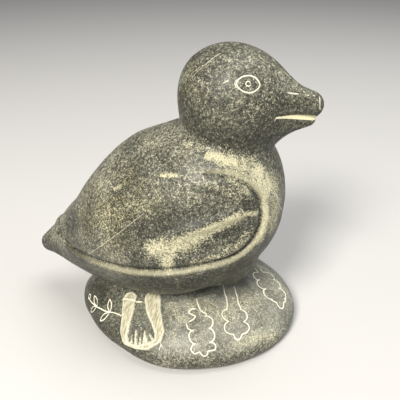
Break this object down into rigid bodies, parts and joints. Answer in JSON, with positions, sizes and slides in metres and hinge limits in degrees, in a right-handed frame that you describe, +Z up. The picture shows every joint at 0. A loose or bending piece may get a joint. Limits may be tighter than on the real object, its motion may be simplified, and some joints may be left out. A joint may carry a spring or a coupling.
{
  "type": "soapstone bird carving",
  "caption": "Stone carving of a plump round-headed bird with folded wings, a short tail and a blunt beak, cut in one piece with the low rounded mound it sits on.",
  "frame": {"origin": "middle of the mound's flat underside, on the surface that the carving stands on", "axes": "+Z up, +X the way the bird faces, +Y to the bird's left"},
  "size_m": [0.125, 0.0817, 0.1236],
  "materials": {
    "soapstone": "dark olive-grey soapstone, rubbed to a satin polish, finely speckled, with pale cream scuffs and scratched lines"
  },
  "bodies": {
    "root": {"bird_carving": "soapstone"}
  },
  "joints": []
}
